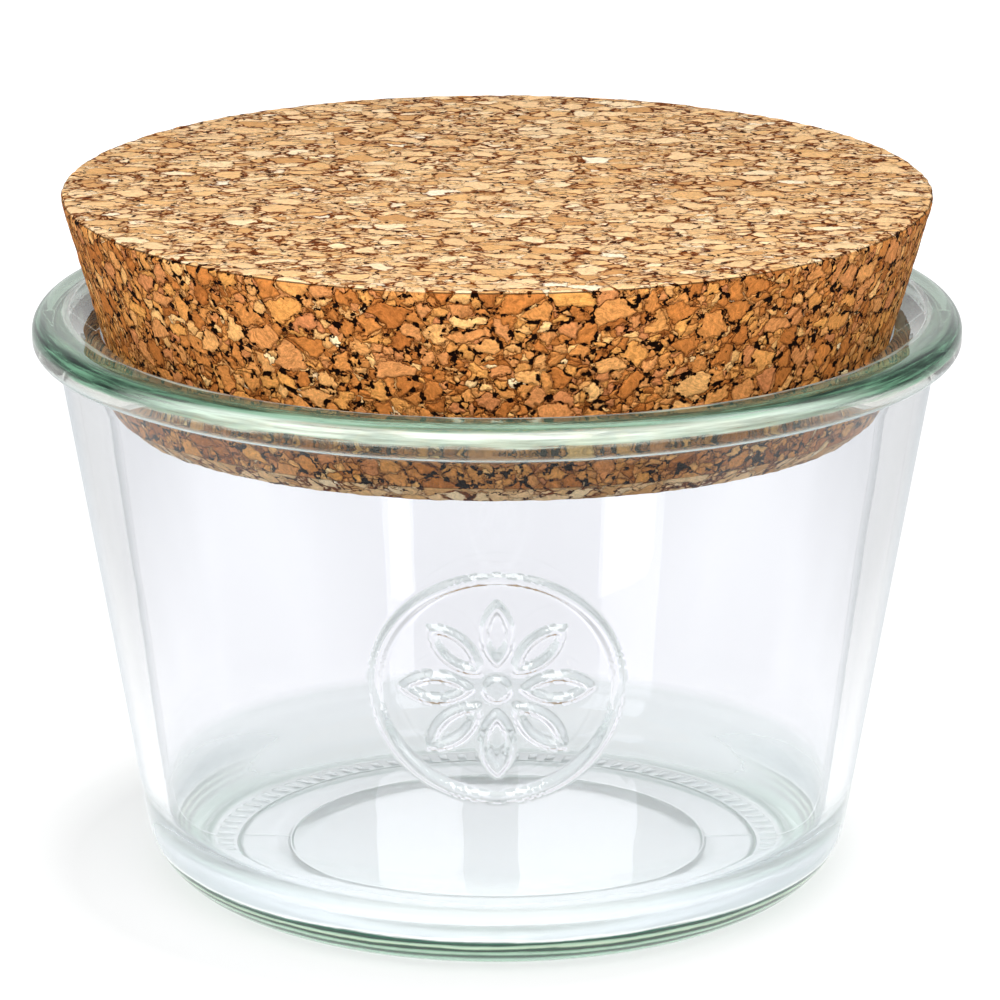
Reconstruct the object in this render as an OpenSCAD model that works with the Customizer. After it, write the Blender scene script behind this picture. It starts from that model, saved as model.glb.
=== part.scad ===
// A tapered, wide-mouthed glass jar with a flanged rim, and the tapered cork lid that wedges into its
// mouth. Millimetres, +Z up, origin on the surface that the jar stands on, at the middle of its base.

/* [Jar] */
// Height of the jar, from the bearing ring to the crest of the rim
jar_h = 69; // [60:0.5:110]
// Outer diameter of the wall where it runs into the underside of the rim
shoulder_d = 103.2; // [98:0.1:105]
// Outer diameter at the foot, where the line of the tapered wall would meet the table
foot_d = 81.9; // [72:0.1:92]
// Radius of the heel, the round corner between wall and base
heel_r = 7.8; // [5:0.1:11]
// Thickness of the floor above the raised middle of the base
floor_t = 4.4; // [3:0.1:8]
// Inner diameter where the line of the inner wall would meet the floor
inner_foot_d = 77.4; // [68:0.1:78]
// Radius of the round corner between the inner wall and the floor
inner_corner_r = 6.5; // [3:0.1:10]

/* [Rim] */
// Outer diameter of the rim's flange
rim_d = 109; // [107:0.1:120]
// Diameter of the mouth, at the narrowest ring of the rim
mouth_d = 93; // [88:0.1:95]
// Height of the crest over the underside of the flange
flange_t = 4.1; // [3.2:0.1:7]
// Radius of the flange's lower outer edge
flange_low_r = 1.1; // [0.5:0.1:1.5]
// Radius of the flange's upper outer shoulder
flange_top_r = 2.2; // [1.2:0.1:2.6]
// Width of the flat crest
crest_w = 1.9; // [0.8:0.1:2.6]
// Depth of the mouth's rounded edge under the crest
mouth_drop = 1.5; // [0.8:0.1:2.4]
// Radius of the mouth's rounded edge, on which the cork wedges
mouth_edge_r = 1; // [0.5:0.1:1.6]
// Radius of the hollow corner under the flange
neck_r = 0.9; // [0.5:0.1:1.3]

/* [Base] */
// Height of the raised middle of the base over the table
push_up = 1; // [0.6:0.1:2.5]
// Width of the flat bearing ring
bearing_w = 3.2; // [2.2:0.1:5]
// Radius of the step from the bearing ring to the raised middle
step_r = 1; // [0.6:0.1:2]
// Number of knurls round the bearing ring
knurls = 90; // [60:1:120]
// Length of a knurl, along the radius
knurl_l = 2.4; // [1.2:0.1:2.8]
// Width of a knurl
knurl_w = 1.1; // [0.6:0.05:1.4]
// Height of a knurl
knurl_h = 0.25; // [0.15:0.05:0.5]

/* [Mould marks] */
// Height of the parting lines over the glass
seam_h = 0.15; // [0.05:0.05:0.3]
// Width of the parting lines
seam_w = 0.45; // [0.3:0.05:0.8]
// Diameter of the ring that the mould's bottom plate leaves on the base
plate_ring_d = 49.4; // [36:0.1:54]

/* [Medallion] */
// Diameter of the raised medallion on the front
medallion_d = 28; // [20:0.5:32]
// Height of the medallion's middle over the table
medallion_z = 37; // [34:0.5:40]
// How far the medallion stands proud of the wall
relief = 0.5; // [0.2:0.05:0.8]
// Width of the medallion's outer ring
ring_w = 1.1; // [0.6:0.1:1.6]
// Number of petals
petals = 8; // [5:1:10]
// Width of a petal
petal_w = 3.6; // [2.6:0.1:3.8]
// Width of a petal's raised outline
petal_line = 0.8; // [0.5:0.05:1]
// Space between the petals' tips and the ring
petal_gap = 2.2; // [0.5:0.1:3]

/* [Cork lid] */
// Thickness of the lid
lid_h = 25; // [20:0.5:34]
// How far the lid's top stands over the crest of the rim
lid_stand = 14.2; // [8:0.1:18]
// Slope of the lid's side, in degrees from upright
lid_taper = 15.6; // [8:0.1:20]
// Size of the bevel round the lower face
lid_bevel = 2; // [0.5:0.1:3]
// Radius of the lid's upper edge
lid_edge_r = 0.6; // [0.3:0.1:1.5]
// Gap between the cork and the mouth's edge
lid_gap = 0.12; // [0.05:0.01:0.3]

/* [Hidden] */
$fn = 180;
fit = 0.4;                                // how far pieces of one body run into each other

// radii and slopes of the wall, with z measured from the table
flange_z = jar_h - flange_t;              // underside of the flange
wall_top_z = flange_z - neck_r;
foot_r = foot_d / 2;
shoulder_r = shoulder_d / 2;
wall_slope = (shoulder_r - foot_r) / wall_top_z;
wall_a = atan(wall_slope);                // taper of the outer wall
rim_r = rim_d / 2;
mouth_r = mouth_d / 2;
// centre of the hollow arc that joins the wall to the underside of the flange
neck_c = [foot_r + wall_slope * wall_top_z + neck_r / cos(wall_a), wall_top_z];

// the heel's arc touches the wall and the plane of the bearing ring
bearing_z = knurl_h;
heel_c = [foot_r + wall_slope * (bearing_z + heel_r) - heel_r / cos(wall_a), bearing_z + heel_r];
bearing_out_r = heel_c[0];
bearing_in_r = bearing_out_r - bearing_w;

// the step between the bearing ring and the raised middle ends on the ring's plane, or upright over it
step_end_a = asin(max(0, (step_r - push_up + bearing_z) / step_r));

// inner wall, from the floor's corner to the mouth's edge
floor_z = push_up + floor_t;
mouth_c = [mouth_r + mouth_edge_r, jar_h - mouth_drop - mouth_edge_r];
inner_foot_r = inner_foot_d / 2;
// slope of the line that runs from the foot of the inner wall and touches the mouth's edge
inner_run = [mouth_c[0] - inner_foot_r, mouth_c[1] - floor_z];
inner_a = atan2(inner_run[0], inner_run[1]) - asin(mouth_edge_r / norm(inner_run));
corner_c = [
  inner_foot_r + tan(inner_a) * inner_corner_r - inner_corner_r / cos(inner_a),
  floor_z + inner_corner_r
];

// the crest, and the slope that runs down from it to the mouth
crest_out_r = rim_r - flange_top_r;
crest_in_r = crest_out_r - crest_w;
mouth_run = [crest_in_r - mouth_c[0], jar_h - mouth_c[1]];
mouth_slope_a = atan2(mouth_run[1], mouth_run[0]) - asin(mouth_edge_r / norm(mouth_run));

// petals of the medallion, from its round eye out to its ring
eye_r = petal_w * 0.4;
petal_start_r = petal_w * 0.75;
petal_l = medallion_d / 2 - ring_w - petal_gap - petal_start_r;

// the lid hangs by its taper: its side passes the mouth's edge at the named gap
touch_r = mouth_c[0] - (mouth_edge_r + lid_gap) * cos(lid_taper);
touch_z = mouth_c[1] + (mouth_edge_r + lid_gap) * sin(lid_taper);
lid_top_z = jar_h + lid_stand;
lid_z = lid_top_z - lid_h;
lid_top_r = touch_r + (lid_top_z - touch_z) * tan(lid_taper);
lid_foot_r = lid_top_r - lid_h * tan(lid_taper);

// Points of an arc round c, from angle a0 to a1
function arc(c, r, a0, a1, steps = 8) =
  [for (i = [0:steps]) c + r * [cos(a0 + (a1 - a0) * i / steps), sin(a0 + (a1 - a0) * i / steps)]];

// Outer side of the jar from the bearing ring up to the flange's outermost edge, grown outwards by d
function outer_side(d = 0) = concat(
  arc(heel_c, heel_r + d, -90, -wall_a, 12),
  arc(neck_c, neck_r - d, 180 - wall_a, 90, 5),
  arc([rim_r - flange_low_r, flange_z + flange_low_r], flange_low_r + d, -90, 0, 6)
);

// Upper shoulder of the flange, up to the crest
function upper_shoulder() = arc([crest_out_r, jar_h - flange_top_r], flange_top_r, 0, 90, 8);

// Inner side of the jar from the crest down to the middle of the floor
function inner_side() = concat(
  [[crest_in_r, jar_h]],
  arc(mouth_c, mouth_edge_r, 90 + mouth_slope_a, 180 - inner_a, 8),
  arc(corner_c, inner_corner_r, -inner_a, -90, 10),
  [[0, floor_z]]
);

// Underside from its middle out to the bearing ring, with a rounded step down to the ring
function under_side() = concat(
  [[0, push_up]],
  arc([bearing_in_r - step_r, push_up - step_r], step_r, 90, step_end_a, 5),
  [[bearing_in_r, bearing_z]]
);

// A pointed oval between two arcs
module oval(l, w) {
  bow_r = (l * l + w * w) / 4 / w;
  intersection() {
    translate([bow_r - w / 2, 0]) circle(bow_r);
    translate([w / 2 - bow_r, 0]) circle(bow_r);
  }
}

// The outline of one petal
module petal() {
  difference() {
    oval(petal_l, petal_w);
    oval(petal_l - 3 * petal_line, petal_w - 2 * petal_line);
  }
}

// The medallion as a flat drawing: a ring, a wreath of petals and a round eye
module medallion_drawing() {
  difference() {
    circle(d = medallion_d);
    circle(d = medallion_d - 2 * ring_w);
  }
  circle(eye_r);
  for (i = [0:petals - 1])
    rotate(i * 360 / petals) translate([0, petal_start_r + petal_l / 2]) petal();
}

// The drawing raised on the tapered wall, facing -Y
module medallion() {
  half = medallion_d / 2 + 1;
  r0 = foot_r + wall_slope * (medallion_z - half);
  r1 = foot_r + wall_slope * (medallion_z + half);
  intersection() {
    translate([0, 0, medallion_z - half])
      rotate_extrude()
        polygon([[r0 - fit, 0], [r0 + relief, 0], [r1 + relief, 2 * half], [r1 - fit, 2 * half]]);
    translate([0, 0, medallion_z])
      rotate([90, 0, 0])
        linear_extrude(rim_r) medallion_drawing();
  }
}

// One mould parting line: a thin blade that follows the outer side, standing proud by seam_h
module side_seam() {
  rotate([90, 0, 0])
    linear_extrude(seam_w, center = true)
      polygon(concat(outer_side(seam_h), [
        [rim_r - flange_low_r, jar_h - flange_top_r],
        [shoulder_r - fit, flange_z + fit],
        [foot_r + wall_slope * heel_c[1] - fit, heel_c[1]]
      ]));
}

// The marks of the mould on the base: the bottom plate's ring, and a line each way out to the bearing ring
module base_seams() {
  ring_r = plate_ring_d / 2;
  translate([0, 0, push_up - seam_h])
    difference() {
      cylinder(h = seam_h + fit, r = ring_r + seam_w / 2);
      translate([0, 0, -fit]) cylinder(h = seam_h + 3 * fit, r = ring_r - seam_w / 2);
    }
  for (a = [0, 180])
    rotate(a)
      translate([ring_r, -seam_w / 2, push_up - seam_h])
        cube([bearing_in_r - ring_r, seam_w, seam_h + fit]);
}

// Short raised bars round the bearing ring, on which the jar stands
module knurling() {
  middle_r = (bearing_in_r + bearing_out_r) / 2;
  for (i = [0:knurls - 1])
    rotate(i * 360 / knurls)
      translate([middle_r - knurl_l / 2, -knurl_w / 2, 0])
        cube([knurl_l, knurl_w, bearing_z + fit]);
}

module glass_jar() {
  color([0.80, 0.91, 0.86, 0.45])
    union() {
      rotate_extrude() polygon(concat(under_side(), outer_side(), upper_shoulder(), inner_side()));
      knurling();
      base_seams();
      for (a = [0, 180]) rotate(a) side_seam();
      medallion();
    }
}

module cork_lid() {
  low_r = lid_foot_r + lid_bevel * tan(lid_taper);
  // the upper edge's arc touches the top and the tapered side
  edge_c = [
    lid_top_r - tan(lid_taper) * lid_edge_r - lid_edge_r / cos(lid_taper),
    lid_h - lid_edge_r
  ];
  color([0.80, 0.60, 0.38])
    translate([0, 0, lid_z])
      rotate_extrude()
        polygon(concat(
          [[0, 0], [low_r - lid_bevel, 0], [low_r, lid_bevel]],
          arc(edge_c, lid_edge_r, -lid_taper, 90, 6),
          [[0, lid_h]]
        ));
}

glass_jar();
cork_lid();
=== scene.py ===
"""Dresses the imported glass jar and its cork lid, and sets up the studio round them.

The jar is moulded soda-lime glass, the lid a disc of pressed cork granules. Sizes are in millimetres until a
mesh is made; meshes, lamps and the camera are in metres.
"""

import logging
import math
from dataclasses import dataclass, field
from enum import Enum
from typing import Any, Sequence

import bpy
import numpy as np
from mathutils import Matrix, Vector


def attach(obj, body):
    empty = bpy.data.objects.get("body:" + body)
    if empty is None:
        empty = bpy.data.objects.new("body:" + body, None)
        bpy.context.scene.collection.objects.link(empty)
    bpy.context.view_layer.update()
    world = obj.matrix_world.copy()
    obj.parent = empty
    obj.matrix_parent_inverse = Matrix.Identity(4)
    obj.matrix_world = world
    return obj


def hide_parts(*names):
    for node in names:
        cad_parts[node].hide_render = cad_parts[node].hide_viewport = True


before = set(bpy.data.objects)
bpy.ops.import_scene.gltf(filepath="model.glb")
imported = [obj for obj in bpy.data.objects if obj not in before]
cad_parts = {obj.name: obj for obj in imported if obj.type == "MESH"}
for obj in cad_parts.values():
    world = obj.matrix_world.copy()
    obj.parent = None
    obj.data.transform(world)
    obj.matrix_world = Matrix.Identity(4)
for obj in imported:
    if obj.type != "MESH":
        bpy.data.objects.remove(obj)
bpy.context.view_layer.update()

MM = 0.001
log = logging.getLogger("glass_jar_scene")
Point = tuple[float, float]


# ---------------------------------------------------------------- colours and nodes


def linear(code: str) -> tuple[float, float, float, float]:
    """Turns an sRGB hex code into the linear colour that Blender's sockets take.

    Args:
        code: Six hex digits, with or without a leading #.

    Returns:
        Red, green, blue and an alpha of 1.
    """
    digits = code.lstrip("#")
    parts = [int(digits[i : i + 2], 16) / 255 for i in (0, 2, 4)]
    values = [c / 12.92 if c <= 0.04045 else ((c + 0.055) / 1.055) ** 2.4 for c in parts]
    return (values[0], values[1], values[2], 1.0)


def add_node(
    tree: bpy.types.NodeTree,
    kind: str,
    inputs: dict[Any, Any] | None = None,
    **settings: Any,
) -> bpy.types.Node:
    """Adds a node, sets it and links it.

    Args:
        tree: The node tree that it goes into.
        kind: The node's type name.
        inputs: Input name or number to a plain value, or to the output socket that feeds it.
        settings: The node's own properties.

    Returns:
        The new node.
    """
    node = tree.nodes.new(kind)
    for name, value in settings.items():
        setattr(node, name, value)
    for name, value in (inputs or {}).items():
        if isinstance(value, bpy.types.NodeSocket):
            tree.links.new(value, node.inputs[name])
        else:
            node.inputs[name].default_value = value
    return node


def fill_ramp(node: bpy.types.Node, stops: Sequence[tuple[float, str] | tuple[float, str, float]]) -> None:
    """Gives a colour ramp its stops.

    Args:
        node: The Color Ramp node.
        stops: Places from 0 to 1 with their hex colours and, where it isn't 1, their alpha, in order.
    """
    ramp = node.color_ramp
    while len(ramp.elements) > 1:
        ramp.elements.remove(ramp.elements[-1])
    for number, (place, code, *alpha) in enumerate(stops):
        stop = ramp.elements[0] if number == 0 else ramp.elements.new(place)
        stop.position = place
        stop.color = linear(code)[:3] + (alpha[0] if alpha else 1.0,)


def remap(
    tree: bpy.types.NodeTree,
    value: bpy.types.NodeSocket,
    source: tuple[Any, Any],
    target: tuple[Any, Any],
) -> bpy.types.NodeSocket:
    """Maps a value from one range to another and holds it at the ends.

    Args:
        tree: The node tree.
        value: The value.
        source: The range it comes from, as numbers or sockets.
        target: The range it goes to, as numbers or sockets.

    Returns:
        The mapped value.
    """
    node = add_node(
        tree,
        "ShaderNodeMapRange",
        {"Value": value, 1: source[0], 2: source[1], 3: target[0], 4: target[1]},
    )
    return node.outputs[0]


def mixed(tree: bpy.types.NodeTree, share: Any, first: Any, second: Any) -> bpy.types.NodeSocket:
    """Mixes two colours.

    Args:
        tree: The node tree.
        share: How much of the second colour there is, from 0 to 1.
        first: The colour at 0.
        second: The colour at 1.

    Returns:
        The mixed colour.
    """
    node = add_node(tree, "ShaderNodeMix", {0: share, 6: first, 7: second}, data_type="RGBA")
    return node.outputs[2]


def blended(tree: bpy.types.NodeTree, share: Any, first: Any, second: Any) -> bpy.types.NodeSocket:
    """Mixes two numbers.

    Args:
        tree: The node tree.
        share: How much of the second number there is, from 0 to 1.
        first: The number at 0.
        second: The number at 1.

    Returns:
        The mixed number.
    """
    node = add_node(tree, "ShaderNodeMix", {0: share, 2: first, 3: second}, data_type="FLOAT")
    return node.outputs[0]


def computed(tree: bpy.types.NodeTree, operation: str, *values: Any) -> bpy.types.NodeSocket:
    """Does one step of arithmetic.

    Args:
        tree: The node tree.
        operation: The Math node's operation.
        values: Numbers or sockets.

    Returns:
        The result.
    """
    node = add_node(tree, "ShaderNodeMath", dict(enumerate(values)), operation=operation)
    return node.outputs[0]


def new_material(name: str) -> tuple[bpy.types.Material, bpy.types.NodeTree]:
    """Makes an empty node material.

    Args:
        name: The material's name.

    Returns:
        The material and its node tree, which holds nothing yet.
    """
    material = bpy.data.materials.new(name)
    material.use_nodes = True
    material.node_tree.nodes.clear()
    return material, material.node_tree


# ---------------------------------------------------------------- finishes


@dataclass(frozen=True)
class SodaLimeGlass:
    """Soda-lime container glass, blown in an iron mould and fire polished.

    It looks clear through one wall and green where light runs along the glass, in the rim and the heel, where
    painted highlights, painted reflections and painted shade lie over the green. The mould leaves the faces very
    slightly wavy.
    """

    name: str = "moulded soda-lime glass"
    ior: float = 1.52
    wall_tint: str = "#FBFBFE"
    volume_tint: str = "#9CCDB3"
    density: float = 3.8
    rim_z_mm: float = 64.9
    rim_middle_mm: tuple[float, float] = (51.5, 66.9)
    # by angle round the rim's section: colour and share of the rim's green tint with painted highlights, painted
    # reflections and painted shade
    rim_tint_and_painted_light: tuple[tuple[float, str, float], ...] = (
        (-180, "#DDE6E4", 0.46),
        (-166, "#D6E4DC", 0.06),
        (-60, "#DCE8E0", 0.05),
        (-50, "#E4ECE6", 0.60),
        (-42, "#E4ECE6", 0.60),
        (-34, "#EDE8DC", 0.02),
        (-8, "#EDE8DC", 0.02),
        (0, "#C4D6C4", 0.54),
        (26, "#D2DFD0", 0.58),
        (38, "#84A98E", 0.28),
        (48, "#8FAE94", 0.16),
        (104, "#A9BFA8", 0.16),
        (110, "#F6FAF7", 0.70),
        (118, "#F6FAF7", 0.70),
        (128, "#DDE6E4", 0.50),
        (180, "#DDE6E4", 0.46),
    )
    # the rim's deep green, near black at one end: green tint and painted shade
    rim_green_and_shade: tuple[str, str] = ("#0A301C", "#628F72")
    # painted reflection where the flange's lower outer face is seen at a slant, and its share
    rim_slant_reflection: tuple[str, float] = ("#C6D4D4", 0.62)
    heel_middle_mm: tuple[float, float] = (34.4, 8.05)
    heel_reach_mm: tuple[float, float] = (6.6, 7.0)
    # by angle round the heel's section: colour and share of the heel's green tint with painted dark lines of shade,
    # pale lines and a painted highlight line
    heel_tint_and_painted_lines: tuple[tuple[float, str, float], ...] = (
        (-88, "#DCE9E4", 0.30),
        (-80, "#2C6A4E", 0.78),
        (-73, "#1F5A3E", 0.86),
        (-64, "#8CBBA0", 0.70),
        (-52, "#9FC8B0", 0.70),
        (-47, "#063820", 0.94),
        (-44, "#0F4A30", 0.92),
        (-41, "#BAD8BF", 0.68),
        (-39, "#9CC4A8", 0.68),
        (-37, "#042C1A", 0.95),
        (-34, "#0C402C", 0.92),
        (-32, "#C6DABC", 0.68),
        (-30, "#A8CBB0", 0.68),
        (-28, "#042C20", 0.95),
        (-25, "#1E5A46", 0.86),
        (-23, "#F9FBFA", 0.84),
        (-20, "#DCE2E8", 0.66),
        (0, "#DFE4EA", 0.58),
        (14, "#E6EAEF", 0.34),
        (26, "#F4F6F9", 0.0),
    )
    # pale veil painted over the underside, and its share
    base_painted_veil: tuple[str, float] = ("#F0F0F3", 0.38)
    # painted shade along the wall's outline, and its share
    outline_shade: str = "#8296A4"
    outline_shade_share: float = 0.45
    wave_mm: float = 11.0
    wave_height_mm: float = 0.022

    def tint(
        self, tree: bpy.types.NodeTree, mm: bpy.types.NodeSocket, streaks: bpy.types.NodeSocket
    ) -> tuple[bpy.types.NodeSocket, bpy.types.NodeSocket]:
        """Colours the skin by place: near white on the walls, green in the thick rim and heel, with painted
        highlights, reflections and shade in the rim and heel, a painted veil under the base and painted shade along
        the outline.

        Args:
            tree: The material's node tree.
            mm: Object coordinates in millimetres.
            streaks: A noise drawn out round the rim.

        Returns:
            The colour, and the share of light that goes through.
        """
        parts = add_node(tree, "ShaderNodeSeparateXYZ", {"Vector": mm}).outputs
        flat = add_node(tree, "ShaderNodeCombineXYZ", {"X": parts["X"], "Y": parts["Y"]}).outputs[0]
        reach = add_node(tree, "ShaderNodeVectorMath", {0: flat}, operation="LENGTH").outputs["Value"]

        # zones round the section of the rim, by their angle about its middle: the rim's green tint together with
        # painted highlights, painted reflections and painted shade, each shown by its share as a lit, clouded skin
        out = computed(tree, "SUBTRACT", reach, self.rim_middle_mm[0])
        up = computed(tree, "SUBTRACT", parts["Z"], self.rim_middle_mm[1])
        angle = computed(tree, "ARCTAN2", up, out)
        ragged = computed(tree, "MULTIPLY_ADD", streaks, 0.5, -0.25)
        turn = computed(tree, "ADD", angle, ragged)
        rim_tint_and_light_ramp = add_node(
            tree, "ShaderNodeValToRGB", {"Fac": remap(tree, turn, (-math.pi, math.pi), (0.0, 1.0))}
        )
        fill_ramp(rim_tint_and_light_ramp, [((degrees + 180) / 360, code, painted_share) for degrees, code, painted_share in self.rim_tint_and_painted_light])
        rim = remap(tree, parts["Z"], (self.rim_z_mm - 1.2, self.rim_z_mm), (0.0, 1.0))

        # where the rim's outer rounding is seen at a slant, a deep green, near black in places, is painted on: the
        # green of light that runs along the skin, and painted shade
        facing = add_node(tree, "ShaderNodeLayerWeight", {"Blend": 0.5}).outputs["Facing"]
        along = computed(
            tree,
            "MULTIPLY",
            remap(tree, facing, (0.13, 0.42), (0.0, 1.0)),
            computed(
                tree,
                "MULTIPLY",
                remap(tree, turn, (0.95, 0.70), (0.55, 1.0)),
                remap(tree, turn, (-0.12, 0.06), (0.0, 1.0)),
            ),
        )
        green_and_shade = mixed(
            tree,
            remap(tree, streaks, (0.36, 0.64), (0.0, 1.0)),
            linear(self.rim_green_and_shade[0]),
            linear(self.rim_green_and_shade[1]),
        )
        rim_painted_colour = mixed(tree, along, rim_tint_and_light_ramp.outputs["Color"], green_and_shade)
        # where the flange's lower outer face is seen at a slant, a pale grey-blue painted reflection
        beside = computed(
            tree,
            "MULTIPLY",
            remap(tree, facing, (0.30, 0.60), (0.0, 1.0)),
            remap(tree, computed(tree, "ADD", turn, 0.55), (0.0, 0.5), (1.0, 0.0)),
        )
        beside = computed(tree, "MULTIPLY", beside, remap(tree, turn, (-1.3, -1.1), (0.0, 1.0)))
        rim_painted_colour = mixed(tree, beside, rim_painted_colour, linear(self.rim_slant_reflection[0]))

        # the same round the heel, where only a flat view shows the lines: painted dark lines of shade, pale lines
        # and a painted highlight line over the heel's green tint
        heel_out = computed(tree, "SUBTRACT", reach, self.heel_middle_mm[0])
        heel_up = computed(tree, "SUBTRACT", parts["Z"], self.heel_middle_mm[1])
        heel_turn = computed(
            tree,
            "ADD",
            computed(tree, "ARCTAN2", heel_up, heel_out),
            computed(tree, "MULTIPLY_ADD", streaks, 0.13, -0.065),
        )
        lines = add_node(
            tree,
            "ShaderNodeValToRGB",
            {"Fac": remap(tree, heel_turn, (-math.pi / 2, math.pi / 2), (0.0, 1.0))},
        )
        fill_ramp(lines, [((degrees + 90) / 180, code, painted_share) for degrees, code, painted_share in self.heel_tint_and_painted_lines])
        from_heel = computed(
            tree,
            "SQRT",
            computed(
                tree,
                "MULTIPLY_ADD",
                heel_out,
                heel_out,
                computed(tree, "MULTIPLY", heel_up, heel_up),
            ),
        )
        heel = computed(
            tree,
            "MULTIPLY",
            remap(tree, from_heel, self.heel_reach_mm, (0.0, 1.0)),
            remap(tree, parts["Z"], (13.0, 11.5), (0.0, 1.0)),
        )
        heel = computed(tree, "MULTIPLY", heel, remap(tree, reach, (34.0, 35.0), (0.0, 1.0)))
        # seen head on, the heel gets a pale painted veil instead of the lines
        edge_on = remap(tree, facing, (0.10, 0.26), (0.0, 1.0))
        heel_painted_colour = mixed(tree, edge_on, linear("#F0F4F5"), lines.outputs["Color"])
        # where the wall is seen nearly edge on, a grey-blue is painted on: painted shade along the outline
        painted_outline = remap(tree, facing, (0.78, 0.92), (0.0, 1.0))
        colour = mixed(tree, painted_outline, linear(self.wall_tint), linear(self.outline_shade))
        colour = mixed(tree, heel, colour, heel_painted_colour)
        colour = mixed(tree, rim, colour, rim_painted_colour)
        low_painted_share = blended(
            tree,
            heel,
            computed(tree, "MULTIPLY", painted_outline, self.outline_shade_share),
            blended(tree, edge_on, 0.24, lines.outputs["Alpha"]),
        )
        rim_painted_share = blended(tree, along, rim_tint_and_light_ramp.outputs["Alpha"], 0.66)
        rim_painted_share = blended(tree, beside, rim_painted_share, self.rim_slant_reflection[1])
        # on the underside a pale veil is painted over the base's reflections and refracted lines: painted light
        under = computed(
            tree,
            "MULTIPLY",
            remap(tree, parts["Z"], (1.2, 1.5), (1.0, 0.0)),
            remap(tree, reach, (34.0, 35.0), (1.0, 0.0)),
        )
        colour = mixed(tree, under, colour, linear(self.base_painted_veil[0]))
        low_painted_share = blended(tree, under, low_painted_share, self.base_painted_veil[1])
        uneven = remap(tree, streaks, (0.3, 0.7), (0.5, 1.4))
        painted_share = blended(tree, rim, low_painted_share, computed(tree, "MULTIPLY", rim_painted_share, uneven))
        return colour, computed(tree, "SUBTRACT", 1.0, painted_share)

    def make(self) -> bpy.types.Material:
        """Builds the material.

        Returns:
            Glass that lets lamps through, so that the floor under it isn't black.
        """
        material, tree = new_material(self.name)
        place = add_node(tree, "ShaderNodeTexCoord").outputs["Object"]
        mm = add_node(tree, "ShaderNodeVectorMath", {0: place, "Scale": 1000.0}, operation="SCALE").outputs[0]
        wave = add_node(
            tree,
            "ShaderNodeTexNoise",
            {"Vector": mm, "Scale": 1 / self.wave_mm, "Detail": 1.0, "Roughness": 0.4},
        )
        bump = add_node(
            tree,
            "ShaderNodeBump",
            {"Strength": 1.0, "Distance": self.wave_height_mm * MM, "Height": wave.outputs["Fac"]},
        )
        # drawn-out streaks round the ring, which break up the painted zones in the rim and the heel
        axes = add_node(tree, "ShaderNodeSeparateXYZ", {"Vector": mm}).outputs
        flat = add_node(tree, "ShaderNodeCombineXYZ", {"X": axes["X"], "Y": axes["Y"]}).outputs[0]
        reach = add_node(tree, "ShaderNodeVectorMath", {0: flat}, operation="LENGTH").outputs["Value"]
        drawn = add_node(
            tree,
            "ShaderNodeCombineXYZ",
            {
                "X": computed(tree, "MULTIPLY", axes["X"], 0.09),
                "Y": computed(tree, "MULTIPLY", axes["Y"], 0.09),
                "Z": computed(tree, "MULTIPLY_ADD", reach, -1.3, computed(tree, "MULTIPLY", axes["Z"], 1.6)),
            },
        )
        streaks = add_node(
            tree,
            "ShaderNodeTexNoise",
            {"Vector": drawn.outputs[0], "Scale": 1.0, "Detail": 4.0, "Roughness": 0.6},
        ).outputs["Fac"]
        colour, through = self.tint(tree, mm, streaks)
        glass = add_node(
            tree,
            "ShaderNodeBsdfPrincipled",
            {
                "Base Color": colour,
                "Roughness": 0.0,
                "IOR": self.ior,
                "Transmission Weight": through,
                "Normal": bump.outputs["Normal"],
            },
        )
        clear = add_node(tree, "ShaderNodeBsdfTransparent", {"Color": linear("#F1F6F4")})
        rays = add_node(tree, "ShaderNodeLightPath")
        both = add_node(
            tree,
            "ShaderNodeMixShader",
            {0: rays.outputs["Is Shadow Ray"], 1: glass.outputs["BSDF"], 2: clear.outputs["BSDF"]},
        )
        volume = add_node(
            tree, "ShaderNodeVolumeAbsorption", {"Color": linear(self.volume_tint), "Density": self.density}
        )
        add_node(
            tree,
            "ShaderNodeOutputMaterial",
            {"Surface": both.outputs["Shader"], "Volume": volume.outputs["Volume"]},
        )
        return material


@dataclass(frozen=True)
class Granules:
    """One size of cork granule: its width, how many of its cells are filled, and the glue line round it."""

    size_mm: float
    filled: float
    margin_mm: float
    stretch: tuple[float, float, float]
    turn_deg: tuple[float, float, float]


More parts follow.
